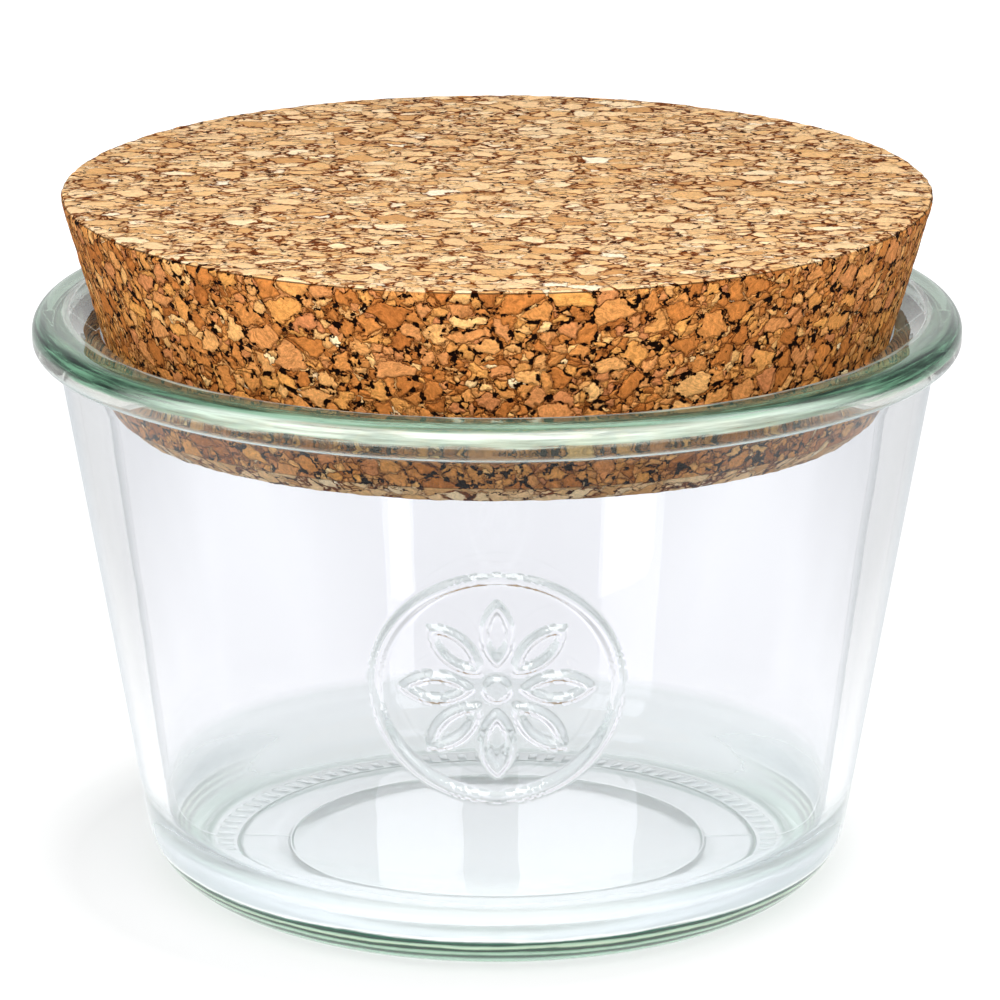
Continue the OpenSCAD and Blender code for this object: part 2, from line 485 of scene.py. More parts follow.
@dataclass(frozen=True)
class PressedCork:
    """Agglomerated cork: bark granules glued under pressure, then turned and sanded.

    Large granules lie among smaller ones, each with its own brown and its own grain. Between them are thin glue
    lines and small black voids, open on the turned side and nearly closed on the sanded top.
    """

    name: str = "pressed cork granules"
    sizes: tuple[Granules, ...] = (
        Granules(1.05, 1.0, 0.0, (0.85, 1.3, 1.0), (0, 0, 8)),
        Granules(1.9, 0.60, 0.08, (0.85, 1.2, 0.9), (20, 10, 25)),
        Granules(3.0, 0.36, 0.18, (0.8, 1.1, 1.2), (15, 30, -20)),
    )
    browns: tuple[tuple[float, str], ...] = (
        (0.0, "#A3602C"),
        (0.2, "#B87237"),
        (0.38, "#C58245"),
        (0.55, "#D1924C"),
        (0.68, "#BB7648"),
        (0.82, "#CB8C50"),
        (0.95, "#DCA565"),
        (0.98, "#E6B678"),
        (1.0, "#FCE2B4"),
    )
    # browns of the sanded top, also given to the foot's bevel, where their paleness is partly painted light from
    # the floor
    top_and_lit_bevel_browns: tuple[tuple[float, str], ...] = (
        (0.0, "#D39A60"),
        (0.16, "#E6B276"),
        (0.38, "#F2C48C"),
        (0.58, "#F9D1A0"),
        (0.72, "#EABB84"),
        (0.88, "#FBD7A6"),
        (0.97, "#FEE0B6"),
        (1.0, "#FFEBCC"),
    )
    glue: str = "#6B340E"
    sanded_void: str = "#3E1A06"
    sanded_glue: str = "#7C3A08"
    void: str = "#120602"
    bend_mm: float = 0.75
    top_z_mm: float = 83.2
    foot_z_mm: float = 58.2
    foot_bevel_mm: float = 2.0

    def granules(
        self, tree: bpy.types.NodeTree, mm: bpy.types.NodeSocket
    ) -> tuple[bpy.types.NodeSocket, bpy.types.NodeSocket]:
        """Lays the sizes of granule over each other.

        Args:
            tree: The material's node tree.
            mm: Bent Object coordinates in millimetres.

        Returns:
            A random colour for each granule, and the distance to its rim in millimetres.
        """
        seed: Any = None
        edge: Any = None
        for kind in self.sizes:
            turned = add_node(
                tree,
                "ShaderNodeMapping",
                {
                    "Vector": mm,
                    "Rotation": tuple(math.radians(a) for a in kind.turn_deg),
                    "Scale": kind.stretch,
                },
            ).outputs[0]
            cell = {"Vector": turned, "Scale": 1 / kind.size_mm}
            colour = add_node(tree, "ShaderNodeTexVoronoi", cell, feature="F1").outputs["Color"]
            rim = add_node(tree, "ShaderNodeTexVoronoi", cell, feature="DISTANCE_TO_EDGE").outputs["Distance"]
            inside = computed(tree, "MULTIPLY_ADD", rim, kind.size_mm, -kind.margin_mm)
            if seed is None:
                seed, edge = colour, inside
                continue
            lot = add_node(tree, "ShaderNodeSeparateColor", {"Color": colour}).outputs["Blue"]
            there = computed(tree, "LESS_THAN", lot, kind.filled)
            covers = computed(tree, "MULTIPLY", there, computed(tree, "GREATER_THAN", inside, 0.0))
            away = computed(tree, "ABSOLUTE", inside)
            cut = computed(tree, "MINIMUM", edge, away)
            edge = blended(tree, covers, blended(tree, there, edge, cut), away)
            seed = mixed(tree, covers, seed, colour)
        return seed, edge

    def make(self) -> bpy.types.Material:
        """Builds the material.

        Returns:
            Cork in real millimetres, read from Object coordinates.
        """
        material, tree = new_material(self.name)
        place = add_node(tree, "ShaderNodeTexCoord").outputs["Object"]
        mm = add_node(tree, "ShaderNodeVectorMath", {0: place, "Scale": 1000.0}, operation="SCALE").outputs[0]

        # the granules are torn, not cut: waves bend the coordinates
        bend = add_node(
            tree, "ShaderNodeTexNoise", {"Vector": mm, "Scale": 0.7, "Detail": 3.0, "Roughness": 0.6}
        ).outputs["Color"]
        shift = add_node(tree, "ShaderNodeVectorMath", {0: bend, 1: (0.5, 0.5, 0.5)}, operation="SUBTRACT")
        bent = add_node(
            tree,
            "ShaderNodeVectorMath",
            {0: shift.outputs[0], 1: (2 * self.bend_mm,) * 3, 2: mm},
            operation="MULTIPLY_ADD",
        ).outputs[0]

        # the sanded top is paler, with flattened granules, and its voids are nearly closed; the bevel at the foot
        # takes the same pale finish, there partly a sanded chamfer and partly painted light from the floor below
        up = add_node(tree, "ShaderNodeSeparateXYZ", {"Vector": mm}).outputs["Z"]
        bevel_z = self.foot_z_mm + self.foot_bevel_mm
        sanded = computed(
            tree,
            "MAXIMUM",
            remap(tree, up, (self.top_z_mm - 0.36, self.top_z_mm - 0.22), (0.0, 1.0)),
            remap(tree, up, (bevel_z + 0.05, bevel_z - 0.10), (0.0, 1.0)),
        )
        seed, edge = self.granules(tree, bent)
        lots = add_node(tree, "ShaderNodeSeparateColor", {"Color": seed}).outputs

        # grain: streaks that run another way in each granule
        own = add_node(
            tree,
            "ShaderNodeVectorRotate",
            {"Vector": bent, "Axis": seed, "Angle": computed(tree, "MULTIPLY", lots["Green"], 6.28)},
        ).outputs[0]
        drawn = add_node(tree, "ShaderNodeVectorMath", {0: own, 1: (1.0, 3.2, 1.6)}, operation="MULTIPLY")
        grain = add_node(
            tree,
            "ShaderNodeTexNoise",
            {"Vector": drawn.outputs[0], "Scale": 1.15, "Detail": 6.0, "Roughness": 0.72},
        ).outputs["Fac"]
        browns = add_node(tree, "ShaderNodeValToRGB", {"Fac": lots["Red"]})
        fill_ramp(browns, self.browns)
        shade = remap(tree, grain, (0.30, 0.70), (0.43, 1.54))
        toned = add_node(
            tree, "ShaderNodeVectorMath", {0: browns.outputs["Color"], "Scale": shade}, operation="SCALE"
        ).outputs[0]
        pale = add_node(tree, "ShaderNodeValToRGB", {"Fac": lots["Red"]})
        fill_ramp(pale, self.top_and_lit_bevel_browns)
        flat = add_node(
            tree,
            "ShaderNodeVectorMath",
            {0: pale.outputs["Color"], "Scale": remap(tree, grain, (0.32, 0.68), (0.62, 1.18))},
            operation="SCALE",
        ).outputs[0]
        body = mixed(tree, sanded, toned, flat)

        # glue lines round the granules, broken up on the top, and voids where a finer noise meets them
        spots = add_node(
            tree, "ShaderNodeTexNoise", {"Vector": mm, "Scale": 0.95, "Detail": 2.0, "Roughness": 0.6}
        ).outputs["Fac"]
        line = blended(
            tree,
            sanded,
            remap(tree, edge, (0.03, 0.15), (0.85, 0.0)),
            remap(tree, edge, (0.06, 0.20), (1.0, 0.0)),
        )
        worn = add_node(
            tree, "ShaderNodeTexNoise", {"Vector": mm, "Scale": 0.45, "Detail": 2.0, "Roughness": 0.55}
        ).outputs["Fac"]
        kept = blended(
            tree, sanded, remap(tree, worn, (0.36, 0.60), (0.25, 1.0)), remap(tree, worn, (0.45, 0.56), (0.08, 1.0))
        )
        drawn_line = computed(tree, "MULTIPLY", line, kept)
        lined = mixed(tree, drawn_line, body, mixed(tree, sanded, linear(self.glue), linear(self.sanded_glue)))
        gape = blended(
            tree,
            sanded,
            remap(tree, spots, (0.53, 0.69), (0.0, 0.37)),
            remap(tree, spots, (0.56, 0.70), (0.0, 0.34)),
        )
        inner = computed(tree, "MULTIPLY", gape, 0.6)
        outer = computed(tree, "ADD", gape, 0.03)
        filled = remap(tree, edge, (inner, outer), (0.0, 1.0))
        hollow = mixed(tree, sanded, linear(self.void), linear(self.sanded_void))
        colour = mixed(tree, filled, hollow, lined)

        # relief: each granule lies a little askew, with worn rims and sunk voids
        askew = add_node(tree, "ShaderNodeVectorMath", {0: seed, 1: (0.5, 0.5, 0.5)}, operation="SUBTRACT")
        ramped = add_node(tree, "ShaderNodeVectorMath", {0: askew.outputs[0], 1: mm}, operation="DOT_PRODUCT")
        tilt = computed(tree, "MULTIPLY", ramped.outputs["Value"], 0.32)
        crown = remap(tree, edge, (0.0, 0.24), (0.0, 0.22))
        rough = computed(tree, "MULTIPLY_ADD", grain, 0.16, crown)
        turned = computed(tree, "ADD", rough, tilt)
        height = blended(tree, sanded, turned, computed(tree, "MULTIPLY", turned, 0.6))
        bump = add_node(tree, "ShaderNodeBump", {"Strength": 1.0, "Distance": 1.0 * MM, "Height": height})
        skin = add_node(
            tree,
            "ShaderNodeBsdfPrincipled",
            {
                "Base Color": colour,
                "Roughness": 0.7,
                "Specular IOR Level": 0.03,
                "Normal": bump.outputs["Normal"],
            },
        )
        add_node(tree, "ShaderNodeOutputMaterial", {"Surface": skin.outputs["BSDF"]})
        return material


# ---------------------------------------------------------------- modelling helpers


def arc(centre: Point, radius: float, start: float, end: float, steps: int) -> list[Point]:
    """Points of an arc in the profile's plane.

    Args:
        centre: Radius and height of the arc's centre.
        radius: The arc's radius.
        start: First angle in degrees, 0 along the radius and 90 upwards.
        end: Last angle in degrees.
        steps: Number of equal steps.

    Returns:
        steps + 1 points.
    """
    turns = [math.radians(start + (end - start) * i / steps) for i in range(steps + 1)]
    return [(centre[0] + radius * math.cos(t), centre[1] + radius * math.sin(t)) for t in turns]


def along(first: Point, last: Point, step: float) -> list[Point]:
    """Points between two ends of a straight stretch, without the ends.

    Args:
        first: Start of the stretch.
        last: End of the stretch.
        step: Longest gap allowed between points.

    Returns:
        The points in between.
    """
    length = math.dist(first, last)
    count = max(1, math.ceil(length / step))
    return [
        (first[0] + (last[0] - first[0]) * i / count, first[1] + (last[1] - first[1]) * i / count)
        for i in range(1, count)
    ]


def profile_chain(name: str, profile: Sequence[Point]) -> bpy.types.Object:
    """Draws a profile at the back of the Z axis by extruding a point.

    Args:
        name: Name of the new object.
        profile: Radius and height in millimetres.

    Returns:
        A chain of edges in the plane X = 0.
    """
    bpy.ops.object.select_all(action="DESELECT")
    bpy.ops.mesh.primitive_plane_add(size=MM, location=(0, 0, 0))
    obj = bpy.context.object
    obj.name = obj.data.name = name
    bpy.ops.object.mode_set(mode="EDIT")
    bpy.ops.mesh.select_mode(type="VERT")
    bpy.ops.mesh.select_all(action="SELECT")
    bpy.ops.mesh.merge(type="CENTER")
    bpy.ops.transform.translate(value=(0, profile[0][0] * MM, profile[0][1] * MM))
    for (r0, z0), (r1, z1) in zip(profile, profile[1:]):
        bpy.ops.mesh.extrude_region_move(
            TRANSFORM_OT_translate={"value": (0, (r1 - r0) * MM, (z1 - z0) * MM)}
        )
    bpy.ops.object.mode_set(mode="OBJECT")
    return obj


def joined(parts: Sequence[bpy.types.Object]) -> bpy.types.Object:
    """Joins objects into the first one.

    Args:
        parts: The objects.

    Returns:
        The first object, which now holds them all.
    """
    bpy.ops.object.select_all(action="DESELECT")
    for part in parts:
        part.select_set(True)
    bpy.context.view_layer.objects.active = parts[0]
    bpy.ops.object.join()
    return parts[0]


def spun(name: str, profile: Sequence[Point], sectors: Sequence[tuple[float, int, int]]) -> bpy.types.Object:
    """Spins a profile once round the Z axis, a wedge at a time.

    Args:
        name: Name of the new object.
        profile: Radius and height in millimetres, from one point on the axis to another.
        sectors: Number of equal wedges in each sector, then the degrees and the steps of one wedge. They start
            at the back, add up to 360 degrees, and read the same both ways round.

    Returns:
        A closed mesh with its faces outwards.
    """
    chain = profile_chain(name, profile)
    wedges = []
    begin = 0.0
    for count, degrees, steps in sectors:
        wedge = chain.copy()
        wedge.data = chain.data.copy()
        bpy.context.collection.objects.link(wedge)
        bpy.ops.object.select_all(action="DESELECT")
        bpy.context.view_layer.objects.active = wedge
        wedge.select_set(True)
        bpy.ops.object.mode_set(mode="EDIT")
        bpy.ops.mesh.select_all(action="SELECT")
        bpy.ops.mesh.spin(steps=steps, angle=math.radians(degrees), center=(0, 0, 0), axis=(0, 0, 1))
        bpy.ops.object.mode_set(mode="OBJECT")
        points = np.empty(len(wedge.data.vertices) * 3)
        wedge.data.vertices.foreach_get("co", points)
        turned = math.copysign(1, points.reshape(-1, 3)[:, 0].mean())
        for i in range(count):
            start = begin + i * degrees + (degrees if turned > 0 else 0)
            copy = wedge.copy()
            copy.data = wedge.data.copy()
            copy.data.transform(Matrix.Rotation(math.radians(start), 4, "Z"))
            bpy.context.collection.objects.link(copy)
            wedges.append(copy)
        bpy.data.objects.remove(wedge)
        begin += count * degrees
    bpy.data.objects.remove(chain)
    obj = joined(wedges)
    obj.name = obj.data.name = name
    bpy.ops.object.mode_set(mode="EDIT")
    bpy.ops.mesh.select_all(action="SELECT")
    bpy.ops.mesh.remove_doubles(threshold=1e-6)
    bpy.ops.mesh.normals_make_consistent(inside=False)
    bpy.ops.object.mode_set(mode="OBJECT")
    return obj


def vertex_table(obj: bpy.types.Object) -> tuple[np.ndarray, np.ndarray]:
    """Reads a mesh's points and normals.

    Args:
        obj: The object.

    Returns:
        Points in millimetres and unit normals, one row per vertex.
    """
    mesh = obj.data
    points = np.empty(len(mesh.vertices) * 3)
    mesh.vertices.foreach_get("co", points)
    normals = np.empty(len(mesh.vertices) * 3, dtype=np.float32)
    mesh.vertex_normals.foreach_get("vector", normals)
    return points.reshape(-1, 3) / MM, normals.reshape(-1, 3).astype(float)


def smooth(obj: bpy.types.Object, degrees: float) -> None:
    """Shades an object smooth, apart from edges sharper than an angle.

    Args:
        obj: The object.
        degrees: The angle.
    """
    bpy.ops.object.select_all(action="DESELECT")
    bpy.context.view_layer.objects.active = obj
    obj.select_set(True)
    bpy.ops.object.shade_smooth_by_angle(angle=math.radians(degrees))


def apply_modifier(obj: bpy.types.Object, name: str) -> None:
    """Applies one modifier of an object.

    Args:
        obj: The object.
        name: The modifier's name.
    """
    bpy.ops.object.select_all(action="DESELECT")
    bpy.context.view_layer.objects.active = obj
    obj.select_set(True)
    bpy.ops.object.modifier_apply(modifier=name)


def ease(value: np.ndarray) -> np.ndarray:
    """Runs smoothly from 0 to 1 as the value does, and holds outside.

    Args:
        value: Any numbers.

    Returns:
        Numbers from 0 to 1.
    """
    t = np.clip(value, 0, 1)
    return t * t * (3 - 2 * t)


# ---------------------------------------------------------------- the jar


@dataclass
class GlassJar:
    """The jar: one lathe-like body with a raised medallion, mould lines and a knurled bearing ring."""

    height: float = 69.0
    shoulder_d: float = 103.2
    foot_d: float = 81.9
    heel_r: float = 7.8
    floor_t: float = 4.4
    inner_foot_d: float = 77.4
    inner_corner_r: float = 6.5
    rim_d: float = 109.0
    mouth_d: float = 93.0
    flange_t: float = 4.1
    flange_low_r: float = 1.1
    flange_top_r: float = 2.2
    crest_w: float = 1.9
    crest_edge_r: float = 0.8
    mouth_drop: float = 1.5
    mouth_edge_r: float = 1.0
    neck_r: float = 0.9
    push_up: float = 1.0
    bearing_w: float = 3.2
    step_r: float = 1.0
    knurls: int = 90
    knurl_l: float = 2.4
    knurl_w: float = 1.1
    knurl_h: float = 0.25
    seam_h: float = 0.15
    seam_w: float = 0.45
    plate_ring_d: float = 49.4
    medallion_d: float = 28.0
    medallion_z: float = 37.0
    relief: float = 0.5
    ring_w: float = 1.1
    petals: int = 8
    petal_w: float = 3.6
    petal_line: float = 0.8
    petal_gap: float = 2.2
    finish: SodaLimeGlass = field(default_factory=SodaLimeGlass)

    def __post_init__(self) -> None:
        """Works out the slopes and the arcs' centres from the driving sizes."""
        self.flange_z = self.height - self.flange_t
        self.wall_top_z = self.flange_z - self.neck_r
        self.slope = (self.shoulder_d - self.foot_d) / 2 / self.wall_top_z
        self.wall_a = math.degrees(math.atan(self.slope))
        lean = math.cos(math.radians(self.wall_a))
        self.heel_c = (
            self.wall_radius(self.knurl_h + self.heel_r) - self.heel_r / lean,
            self.knurl_h + self.heel_r,
        )
        self.neck_c = (self.wall_radius(self.wall_top_z) + self.neck_r / lean, self.wall_top_z)
        self.bearing_in_r = self.heel_c[0] - self.bearing_w
        self.floor_z = self.push_up + self.floor_t
        self.mouth_c = (
            self.mouth_d / 2 + self.mouth_edge_r,
            self.height - self.mouth_drop - self.mouth_edge_r,
        )
        run = (self.mouth_c[0] - self.inner_foot_d / 2, self.mouth_c[1] - self.floor_z)
        self.inner_a = math.degrees(
            math.atan2(*run) - math.asin(self.mouth_edge_r / math.hypot(*run))
        )
        inner_lean = math.radians(self.inner_a)
        self.corner_c = (
            self.inner_foot_d / 2
            + math.tan(inner_lean) * self.inner_corner_r
            - self.inner_corner_r / math.cos(inner_lean),
            self.floor_z + self.inner_corner_r,
        )
        self.crest_out_r = self.rim_d / 2 - self.flange_top_r
        self.crest_in_r = self.crest_out_r - self.crest_w
        drop = (self.crest_in_r - self.mouth_c[0], self.height - self.mouth_c[1])
        self.mouth_a = math.degrees(
            math.atan2(drop[1], drop[0]) - math.asin(self.mouth_edge_r / math.hypot(*drop))
        )

    def wall_radius(self, z: float) -> float:
        """Radius of the outer wall at a height, in millimetres."""
        return self.foot_d / 2 + self.slope * z

    def outer_side(self) -> list[Point]:
        """Profile from the bearing ring up to the flange's outermost edge.

        Returns:
            Points, close together where the medallion stands.
        """
        half = self.medallion_d / 2 + 1.2
        heel = arc(self.heel_c, self.heel_r, -90, -self.wall_a, 22)
        neck = arc(self.neck_c, self.neck_r, 180 - self.wall_a, 90, 7)
        low = (self.wall_radius(self.medallion_z - half), self.medallion_z - half)
        high = (self.wall_radius(self.medallion_z + half), self.medallion_z + half)
        edge_c = (self.rim_d / 2 - self.flange_low_r, self.flange_z + self.flange_low_r)
        return (
            heel
            + along(heel[-1], low, 1.6)
            + [low]
            + along(low, high, 0.28)
            + [high]
            + along(high, neck[0], 1.6)
            + neck
            + arc(edge_c, self.flange_low_r, -90, 0, 8)
        )

    def profile(self) -> list[Point]:
        """The whole section, from the middle of the underside round to the middle of the floor.

        Returns:
            Points in millimetres.
        """
        ring_r = self.plate_ring_d / 2
        half = self.seam_w / 2
        ring = [
            (ring_r - 1.6 * half, self.push_up),
            (ring_r - half, self.push_up - 0.3 * self.seam_h),
            (ring_r - 0.4 * half, self.push_up - 0.9 * self.seam_h),
            (ring_r + 0.4 * half, self.push_up - 0.9 * self.seam_h),
            (ring_r + half, self.push_up - 0.3 * self.seam_h),
            (ring_r + 1.6 * half, self.push_up),
        ]
        step_c = (self.bearing_in_r - self.step_r, self.push_up - self.step_r)
        low = (self.step_r - self.push_up + self.knurl_h) / self.step_r
        step_end = math.degrees(math.asin(max(0.0, low)))
        step = arc(step_c, self.step_r, 90, step_end, 7)
        bearing = (self.bearing_in_r + 0.08, self.knurl_h)
        shoulder = arc(
            (self.crest_out_r, self.height - self.flange_top_r), self.flange_top_r, 0, 90, 14
        )
        crest = arc(
            (self.crest_in_r, self.height - self.crest_edge_r), self.crest_edge_r, 90, 90 + self.mouth_a, 4
        )
        mouth = arc(self.mouth_c, self.mouth_edge_r, 90 + self.mouth_a, 180 - self.inner_a, 8)
        corner = arc(self.corner_c, self.inner_corner_r, -self.inner_a, -90, 18)
        return (
            [(0.0, self.push_up)]
            + along((0, self.push_up), ring[0], 6)
            + ring
            + along(ring[-1], step[0], 3)
            + step
            + [bearing]
            + along(bearing, (self.heel_c[0], self.knurl_h), 0.8)
            + self.outer_side()
            + shoulder[1:]
            + along(shoulder[-1], crest[0], 0.5)
            + crest
            + along(crest[-1], mouth[0], 0.6)
            + mouth
            + along(mouth[-1], corner[0], 1.6)
            + corner
            + along(corner[-1], (0, self.floor_z), 5)
            + [(0.0, self.floor_z)]
        )

    def drawing(self, u: np.ndarray, v: np.ndarray) -> np.ndarray:
        """How high the medallion's lines stand, as a share of the relief.

        Args:
            u: Places across, in millimetres from the middle.
            v: Places up, in millimetres from the middle.

        Returns:
            0 on bare glass up to 1 on the crown of a line.
        """
        reach = np.hypot(u, v)
        eye_r = self.petal_w * 0.4
        start = self.petal_w * 0.75
        length = self.medallion_d / 2 - self.ring_w - self.petal_gap - start
        gaps = [
            np.abs(reach - (self.medallion_d - self.ring_w) / 2) - self.ring_w / 2,
            reach - eye_r,
        ]
        bow = (length**2 + self.petal_w**2) / 4 / self.petal_w
        for i in range(self.petals):
            turn = math.tau * i / self.petals
            across = u * math.cos(turn) - v * math.sin(turn)
            out = u * math.sin(turn) + v * math.cos(turn) - start - length / 2
            # distance to a pointed oval: two arcs, or its tip
            side = np.hypot(np.abs(across) + bow - self.petal_w / 2, out) - bow
            tip = np.hypot(across, np.abs(out) - length / 2)
            past = np.abs(out) > length / 2
            oval = np.where(past, tip, side)
            gaps.append(np.abs(oval + self.petal_line / 2) - self.petal_line / 2)
        nearest = np.minimum.reduce(gaps)
        return ease(0.5 - nearest / 0.45)

    def raise_relief(self, obj: bpy.types.Object) -> None:
        """Moves points of the outer side out into the medallion and the two side seams.

        Args:
            obj: The spun body, still without its knurls.
        """
        points, normals = vertex_table(obj)
        x, y, z = points.T
        radius = np.hypot(x, y)
        wall = (
            (np.abs(radius - (self.foot_d / 2 + self.slope * z)) < 0.02)
            & (z > self.heel_r)
            & (z < self.wall_top_z)
            & (y < 0)
        )
        rise = np.zeros(len(x))
        rise[wall] = self.relief * self.drawing(x[wall], z[wall] - self.medallion_z)

        side = self.outer_side()
        rows = np.array(side)
        near_x = np.abs(y) < 1.0
        index = np.flatnonzero(near_x & (radius > self.heel_c[0] - 1))
        gap = np.hypot(radius[index, None] - rows[None, :, 0], z[index, None] - rows[None, :, 1])
        index = index[gap.min(axis=1) < 0.01]
        rise[index] += self.seam_h * ease(1 - np.abs(y[index]) / (0.8 * self.seam_w))
        moved = (points + normals * rise[:, None]) * MM
        obj.data.vertices.foreach_set("co", moved.ravel())
        obj.data.update()

    def knurl_ring(self) -> bpy.types.Object:
        """Models one knurl and copies it round the bearing ring, with the two lines of the bottom plate.

        Returns:
            One object that holds them all.
        """
        middle = self.heel_c[0] - self.bearing_w / 2
        sizes = {
            "knurl": (self.knurl_l, self.knurl_w, self.knurl_h + 0.5, middle, (self.knurl_h + 0.5) / 2),
            "line": (
                self.bearing_in_r - self.plate_ring_d / 2,
                self.seam_w,
                self.seam_h + 0.5,
                (self.bearing_in_r + self.plate_ring_d / 2) / 2,
                self.push_up - self.seam_h + (self.seam_h + 0.5) / 2,
            ),
        }
        made: dict[str, bpy.types.Object] = {}
        for label, (length, width, tall, out, up) in sizes.items():
            bpy.ops.object.select_all(action="DESELECT")
            bpy.ops.mesh.primitive_cube_add(size=1, location=(0, 0, 0))
            bar = bpy.context.object
            bpy.ops.object.mode_set(mode="EDIT")
            bpy.ops.transform.resize(value=(length * MM, width * MM, tall * MM))
            bpy.ops.mesh.bevel(offset=0.12 * MM, segments=2, affect="EDGES")
            bpy.ops.transform.translate(value=(out * MM, 0, up * MM))
            bpy.ops.object.mode_set(mode="OBJECT")
            bar.name = label
            made[label] = bar
        places = [("knurl", 360 * (i + 0.5) / self.knurls) for i in range(self.knurls)]
        places += [("line", 0), ("line", 180)]
        copies = []
        for label, degrees in places:
            copy = made[label].copy()
            copy.data = made[label].data.copy()
            copy.data.transform(Matrix.Rotation(math.radians(degrees), 4, "Z"))
            bpy.context.collection.objects.link(copy)
            copies.append(copy)
        for bar in made.values():
            bpy.data.objects.remove(bar)
        return joined(copies)

    def build(self) -> bpy.types.Object:
        """Models the jar as one closed skin.

        Returns:
            The jar's object.
        """
        seam_deg = 1.44
        front_deg = 2 * math.degrees(math.asin((self.medallion_d / 2 + 1.2) / self.wall_radius(30)))
        quarter_deg = 90 - seam_deg / 2
        plain_deg = quarter_deg - front_deg / 2
        sectors = [
            (3, quarter_deg / 3, 16),
            (1, seam_deg, 12),
            (3, plain_deg / 3, 14),
            (6, front_deg / 6, 19),
            (3, plain_deg / 3, 14),
            (1, seam_deg, 12),
            (3, quarter_deg / 3, 16),
        ]
        jar = spun("jar_glass", self.profile(), sectors)
        self.raise_relief(jar)
        ring = self.knurl_ring()
        join = jar.modifiers.new("knurls", "BOOLEAN")
        join.operation = "UNION"
        join.solver = "EXACT"
        join.object = ring
        apply_modifier(jar, "knurls")
        bpy.data.objects.remove(ring)
        smooth(jar, 38)
        return jar

    def dress(self) -> bpy.types.Object:
        """Builds the jar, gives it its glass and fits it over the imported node.

        Returns:
            The jar's object.
        """
        jar = self.build()
        jar.data.materials.clear()
        jar.data.materials.append(self.finish.make())
        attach(jar, "jar")
        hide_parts("glass_jar")
        return jar


# ---------------------------------------------------------------- the lid


@dataclass
class CorkLid:
    """The lid: a tapered disc of pressed cork with a bevelled foot and a sanded top."""

    thickness: float = 25.0
    top_z: float = 83.2
    taper: float = 15.6
    top_r: float = 51.0
    bevel: float = 2.0
    edge_r: float = 0.6
    crumble: float = 0.18
    finish: PressedCork = field(default_factory=PressedCork)

    def profile(self) -> list[Point]:
        """The section, from the middle of the lower face round to the middle of the top.

        Returns:
            Points in millimetres.
        """
        lean = math.tan(math.radians(self.taper))
        foot_z = self.top_z - self.thickness
        foot_r = self.top_r - self.thickness * lean
        low_r = foot_r + self.bevel * lean
        edge_c = (
            self.top_r - lean * self.edge_r - self.edge_r / math.cos(math.radians(self.taper)),
            self.top_z - self.edge_r,
        )
        edge = arc(edge_c, self.edge_r, -self.taper, 90, 6)
        corners = [(low_r - self.bevel, foot_z), (low_r, foot_z + self.bevel)]
        return (
            [(0.0, foot_z)]
            + along((0, foot_z), corners[0], 1.2)
            + [corners[0]]
            + along(corners[0], corners[1], 0.6)
            + [corners[1]]
            + along(corners[1], edge[0], 0.55)
            + edge
            + along(edge[-1], (0, self.top_z), 0.9)
            + [(0.0, self.top_z)]
        )

    def build(self) -> bpy.types.Object:
        """Models the disc and lets its surface crumble inwards.

        Returns:
            The lid's object.
        """
        lid = spun("lid_cork", self.profile(), [(20, 18, 24)])
        grains = bpy.data.textures.new("crumbled edge", "VORONOI")
        grains.noise_scale = 1.7 * MM
        grains.distance_metric = "DISTANCE"
        pits = lid.modifiers.new("crumble", "DISPLACE")
        pits.texture = grains
        pits.texture_coords = "LOCAL"
        pits.direction = "NORMAL"
        pits.strength = -self.crumble * MM
        pits.mid_level = 0.0
        apply_modifier(lid, "crumble")
        smooth(lid, 60)
        return lid

    def dress(self) -> bpy.types.Object:
        """Builds the lid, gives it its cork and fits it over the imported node.

        Returns:
            The lid's object.
        """
        lid = self.build()
        lid.data.materials.clear()
        lid.data.materials.append(self.finish.make())
        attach(lid, "lid")
        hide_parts("cork_lid")
        return lid


# ---------------------------------------------------------------- the studio


class Side(Enum):
    """Where a softbox stands, as its direction from the object's middle."""

    OVERHEAD = (0.0, -0.95, 1.0)
    LEFT = (-1.0, 0.1, 0.24)
    RIGHT = (1.0, 0.1, 0.24)
    FRONT_LEFT = (-0.72, -0.70, 0.42)
    FRONT_RIGHT = (0.55, -0.84, 0.42)
    FRONT = (0.0, -1.0, 0.75)
    BACK_LEFT = (-0.0375, 1.0, 0.31)
    BACK_RIGHT = (0.039, 1.0, 0.31)


@dataclass(frozen=True)
class Softbox:
    """A rectangular lamp that faces the object."""

    side: Side
    distance: float
    width: float
    height: float
    watts: float
    mirrored: bool = True

    def make(self) -> bpy.types.Object:
        """Sets the lamp up.

        Returns:
            The lamp's object.
        """
        lamp = bpy.data.lights.new("softbox_" + self.side.name.lower(), "AREA")
        lamp.shape = "RECTANGLE"
        lamp.size, lamp.size_y = self.width, self.height
        lamp.energy = self.watts
        obj = bpy.data.objects.new(lamp.name, lamp)
        aim = Vector((0, 0, 0.04))
        away = Vector(self.side.value).normalized()
        obj.location = aim + away * self.distance
        obj.rotation_mode = "QUATERNION"
        obj.rotation_quaternion = (-away).to_track_quat("-Z", "Y")
        obj.visible_camera = False
        obj.visible_glossy = obj.visible_transmission = self.mirrored
        bpy.context.collection.objects.link(obj)
        return obj


